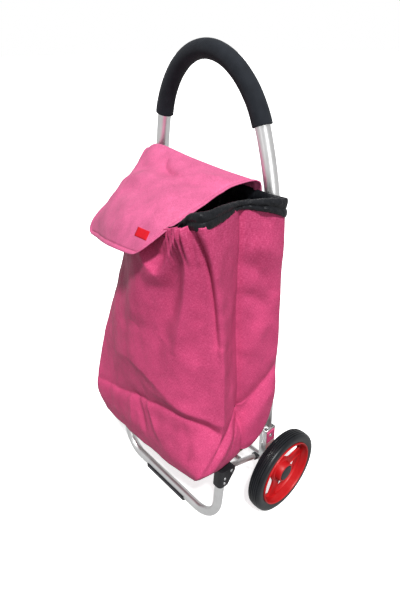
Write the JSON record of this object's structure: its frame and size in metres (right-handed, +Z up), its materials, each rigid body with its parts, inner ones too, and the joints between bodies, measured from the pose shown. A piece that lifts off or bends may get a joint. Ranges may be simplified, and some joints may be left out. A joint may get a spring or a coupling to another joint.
{
  "type": "folding shopping trolley",
  "caption": "Two-wheeled shopping trolley: arched tube handle with foam grip, folding foot and a soft fabric bag with a lid flap.",
  "frame": {"origin": "on the floor, at the centre of the box around the whole trolley", "axes": "+Z up, -Y towards the front where the foot and the lid hang, +X to the trolley's right; the axle runs along X"},
  "size_m": [0.462, 0.3112, 0.9191],
  "materials": {
    "aluminium": "satin anodised tube",
    "steel": "zinc plated",
    "foam": "matt foam rubber",
    "black_plastic": "moulded, fine grain",
    "tyre": "ribbed solid rubber",
    "rim_plastic": "glossy moulded",
    "pink_cloth": "melange plain weave polyester",
    "black_cloth": "thin nylon",
    "label": "plain woven patch",
    "board": "pressed sheet"
  },
  "bodies": {
    "frame": {"axle_bracket_left": "aluminium", "axle_bracket_right": "aluminium", "axle_nut_left": "steel", "axle_nut_right": "steel", "axle_rod": "steel", "axle_spacer_left": "black_plastic", "axle_spacer_right": "black_plastic", "bag_base": "pink_cloth", "bag_front": "pink_cloth", "bag_rear": "pink_cloth", "bag_side_left": "pink_cloth", "bag_side_right": "pink_cloth", "base_board": "board", "collar_front": "black_cloth", "collar_left": "black_cloth", "collar_rear": "black_cloth", "collar_right": "black_cloth", "corner_tab_left": "pink_cloth", "corner_tab_right": "pink_cloth", "foam_grip": "foam", "handle_tube": "aluminium", "hanger_loop_left": "black_cloth", "hanger_loop_right": "black_cloth", "press_stud_left": "steel", "press_stud_right": "steel", "rail_pin_left": "steel", "rail_pin_right": "steel", "upright_crossbar": "aluminium"},
    "wheel_left": {"hub_bush_left": "black_plastic", "hub_cap_left": "black_plastic", "rim_left": "rim_plastic", "tyre_left": "tyre"},
    "wheel_right": {"hub_bush_right": "black_plastic", "hub_cap_right": "black_plastic", "rim_right": "rim_plastic", "tyre_right": "tyre"},
    "platform": {"platform_crossbar": "aluminium", "rail_eye_left": "black_plastic", "rail_eye_right": "black_plastic", "rail_left": "aluminium", "rail_right": "aluminium", "rail_tongue_left": "black_plastic", "rail_tongue_right": "black_plastic"},
    "foot": {"elbow_left": "black_plastic", "elbow_right": "black_plastic", "foot_pad": "black_plastic", "foot_pin_left": "steel", "foot_pin_right": "steel", "foot_tube": "aluminium", "leg_rivet_lower_left": "steel", "leg_rivet_lower_right": "steel", "leg_rivet_upper_left": "steel", "leg_rivet_upper_right": "steel"},
    "flap": {"flap_panel": "pink_cloth", "flap_patch": "label"}
  },
  "joints": [
    {"name": "wheel_left_spin", "type": "hinge", "parent": "frame", "child": "wheel_left", "pos_m": [-0.2135, 0.06, 0.0955], "axis": [1, 0, 0], "continuous": true},
    {"name": "wheel_right_spin", "type": "hinge", "parent": "frame", "child": "wheel_right", "pos_m": [0.2135, 0.06, 0.0955], "axis": [1, 0, 0], "continuous": true},
    {"name": "platform_fold", "type": "hinge", "parent": "frame", "child": "platform", "pos_m": [0, 0.032, 0.12078], "axis": [-1, 0, 0], "range_deg": [0, 68], "deforming": ["bag_rear", "bag_front", "bag_side_left", "bag_side_right", "bag_base", "base_board", "collar_rear", "collar_front", "collar_left", "collar_right"]},
    {"name": "foot_fold", "type": "hinge", "parent": "platform", "child": "foot", "pos_m": [0, -0.05765, 0.157], "axis": [1, 0, 0], "range_deg": [0, 75.2]},
    {"name": "flap_open", "type": "hinge", "parent": "frame", "child": "flap", "pos_m": [0, 0.0435, 0.716], "axis": [-1, 0, 0], "range_deg": [0, 80]}
  ],
  "couplings": [
    {"joint": "foot_fold", "follows": "platform_fold", "ratio": 1.1058}
  ]
}
